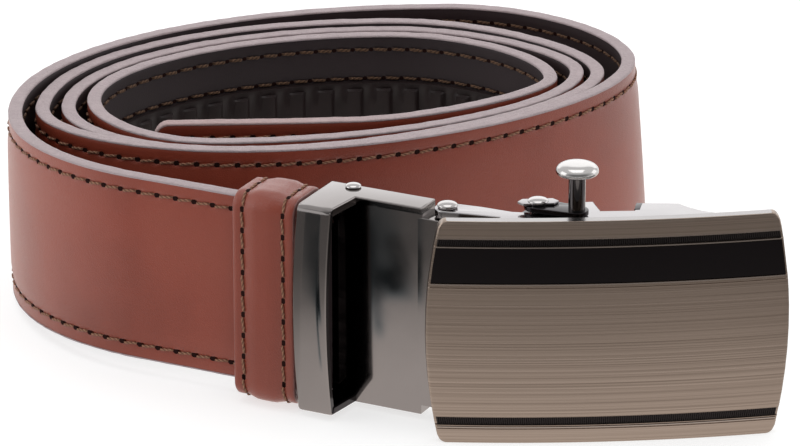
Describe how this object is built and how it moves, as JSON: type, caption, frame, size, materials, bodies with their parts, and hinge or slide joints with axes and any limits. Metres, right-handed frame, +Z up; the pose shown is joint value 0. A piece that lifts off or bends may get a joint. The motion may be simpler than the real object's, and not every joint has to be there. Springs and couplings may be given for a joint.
{
  "type": "ratchet belt",
  "caption": "Coiled leather belt with a toothed track inside, a stitched keeper, a hinged end clamp and a plate buckle with a sprung pawl that catches the track",
  "frame": {"origin": "bottom centre of the bounding box, on the surface the belt stands on", "axes": "X along the buckle's face plate from the hinge to its free end, Y back into the coil, Z up, along the strap's width"},
  "size_m": [0.136, 0.1386, 0.0499],
  "materials": {
    "leather": "smooth reddish-brown leather with a soft sheen and painted edges",
    "lining": "dark smooth lining leather",
    "track": "dark flexible plastic with moulded teeth",
    "clamp_metal": "polished gunmetal plating",
    "frame_metal": "polished gunmetal plating",
    "plate_metal": "warm grey plating brushed lengthways",
    "black_band": "gloss black enamel",
    "bright_metal": "bright polished steel"
  },
  "bodies": {
    "strap": {"strap_leather": "leather", "strap_lining": "lining", "ratchet_track": "track", "keeper_loop": "leather", "clamp_body": "clamp_metal", "clamp_jaw": "clamp_metal", "clamp_pin": "bright_metal"},
    "buckle": {"buckle_frame": "frame_metal", "face_plate": "plate_metal", "face_band": "black_band", "hinge_pin": "bright_metal", "pawl_rivet": "bright_metal"},
    "pawl": {"pawl": "frame_metal", "release_lever": "bright_metal"}
  },
  "joints": [
    {"name": "buckle_hinge", "type": "hinge", "parent": "strap", "child": "buckle", "pos_m": [0.00891, -0.05712, 0.0206], "axis": [0, 0, 1], "range_deg": [-31, 15]},
    {"name": "pawl_pivot", "type": "hinge", "parent": "buckle", "child": "pawl", "pos_m": [0.02451, -0.05952, 0.0206], "axis": [0, 0, 1], "range_deg": [0, 12], "stiffness_Nm_per_rad": 0.02}
  ]
}
